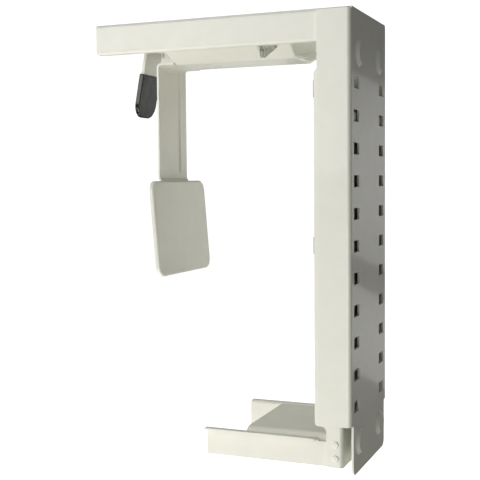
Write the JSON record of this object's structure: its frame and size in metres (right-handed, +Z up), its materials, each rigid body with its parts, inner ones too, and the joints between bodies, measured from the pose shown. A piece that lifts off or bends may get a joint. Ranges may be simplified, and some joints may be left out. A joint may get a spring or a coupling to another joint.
{
  "type": "under-desk computer holder",
  "caption": "Under-desk computer holder: a beam for the desk's underside, a slotted column with a height-adjustable tray, and a sliding side clamp locked by a cam lever.",
  "frame": {"origin": "centre of the four desk screws, on the beam's top face, which lies against the desk", "axes": "+Z up into the desk; +X along the beam from the clamp to the column; Y is the depth, and the front is -Y"},
  "size_m": [0.2655, 0.133, 0.4305],
  "materials": {
    "coated_steel": "satin",
    "zinc_steel": "satin",
    "black_nylon": "matte",
    "grip_plastic": "gloss",
    "pad_rubber": "matte"
  },
  "bodies": {
    "frame": {"top_beam": "coated_steel", "column": "coated_steel", "end_stops": "coated_steel"},
    "tray_carriage": {"inner_slide": "coated_steel", "slide_hooks": "coated_steel", "slide_glides": "black_nylon", "front_rail": "coated_steel", "back_rail": "coated_steel", "tray_floor": "coated_steel", "front_rivets": "coated_steel", "back_rivets": "coated_steel"},
    "clamp_slider": {"slider": "coated_steel", "lever_bracket": "zinc_steel", "clamp_paddle": "coated_steel", "bracket_rivets": "coated_steel", "spring_bracket": "zinc_steel", "spring_bolt": "zinc_steel", "spring_washer": "zinc_steel", "spring_nut": "zinc_steel", "lock_spring": "zinc_steel", "lever_pin": "zinc_steel", "pin_clips": "zinc_steel"},
    "lever": {"lever_bar": "coated_steel", "lever_grip": "grip_plastic"},
    "brake_shoe": {"brake_plate": "zinc_steel", "brake_pad": "pad_rubber"}
  },
  "joints": [
    {"name": "tray_height", "type": "slide", "parent": "frame", "child": "tray_carriage", "axis": [0, 0, 1], "range_m": [-0.27, 0]},
    {"name": "clamp_width", "type": "slide", "parent": "frame", "child": "clamp_slider", "axis": [1, 0, 0], "range_m": [-0.02, 0.045]},
    {"name": "lever_swing", "type": "hinge", "parent": "clamp_slider", "child": "lever", "pos_m": [-0.0995, 0, -0.014], "axis": [0, 1, 0], "range_deg": [0, 70]},
    {"name": "brake_slide", "type": "slide", "parent": "clamp_slider", "child": "brake_shoe", "axis": [0, 0, 1], "range_m": [-0.00125, 0]}
  ],
  "couplings": [
    {"joint": "brake_slide", "follows": "lever_swing", "m_per_rad": -0.000982}
  ]
}
